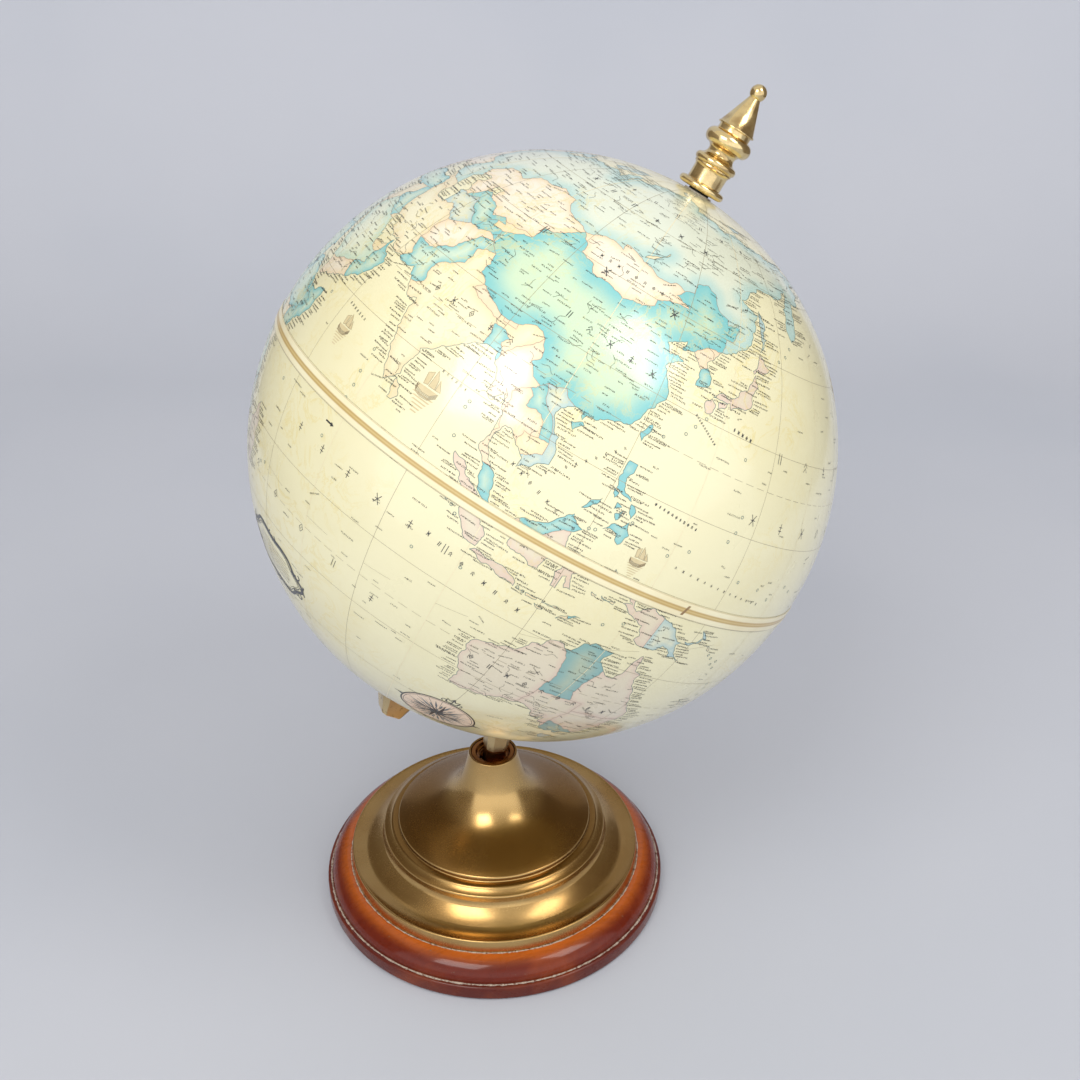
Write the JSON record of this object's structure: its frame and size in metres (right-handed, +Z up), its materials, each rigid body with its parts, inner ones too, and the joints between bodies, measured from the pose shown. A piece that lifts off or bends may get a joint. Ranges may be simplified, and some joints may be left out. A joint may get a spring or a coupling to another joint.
{
  "type": "desktop globe on stand",
  "caption": "Antique-style desktop globe on a short curved arm that swivels in a spun brass cover on a turned wooden base, with a brass finial at the north pole.",
  "frame": {"origin": "middle of the felt pad's underside, on the base's own axis", "axes": "+Z up, +X the way the polar axis leans, so the north pole is towards +X and the south pole towards -X"},
  "size_m": [0.3047, 0.3054, 0.4695],
  "materials": {
    "felt": "matte wool felt",
    "stained_wood": "stained and lacquered",
    "iron": "raw casting",
    "spun_brass": "satin, antique lacquer",
    "zinc_steel": "zinc plated",
    "dark_brass": "dark tarnish",
    "nylon": "moulded",
    "cast_brass": "cast and lacquered",
    "black_rubber": "matte",
    "turned_brass": "polished",
    "board": "pressed",
    "map_paper": "varnished print",
    "tape": "varnished"
  },
  "bodies": {
    "base": {"felt_pad": "felt", "wood_base": "stained_wood", "ballast_plate": "iron", "spun_cover": "spun_brass", "tie_rod": "zinc_steel", "tie_rod_nut": "zinc_steel", "flat_washer": "zinc_steel", "lock_washer": "zinc_steel", "neck_insert": "dark_brass", "snap_ring": "zinc_steel", "friction_washer": "nylon"},
    "swivel": {"swivel_bush": "dark_brass", "lean_pin": "zinc_steel"},
    "arm": {"lean_knuckle": "zinc_steel", "arm": "cast_brass", "axle": "zinc_steel", "axle_nut": "zinc_steel", "thrust_washer": "nylon", "north_washer": "black_rubber", "finial": "turned_brass"},
    "ball": {"north_shell": "board", "south_shell": "board", "seam_hoop": "board", "north_grommet": "nylon", "south_grommet": "nylon", "map_north": "map_paper", "map_south": "map_paper", "equator_band": "tape"}
  },
  "joints": [
    {"name": "arm_swivel", "type": "hinge", "parent": "base", "child": "swivel", "pos_m": [0, 0, 0.085], "axis": [0, 0, 1], "continuous": true},
    {"name": "arm_lean", "type": "hinge", "parent": "swivel", "child": "arm", "pos_m": [0, 0, 0.088], "axis": [0, 1, 0], "range_deg": [-17.2, 0]},
    {"name": "ball_spin", "type": "hinge", "parent": "arm", "child": "ball", "pos_m": [0.03055, 0, 0.29], "axis": [0.5314, 0, 0.8471], "continuous": true}
  ]
}
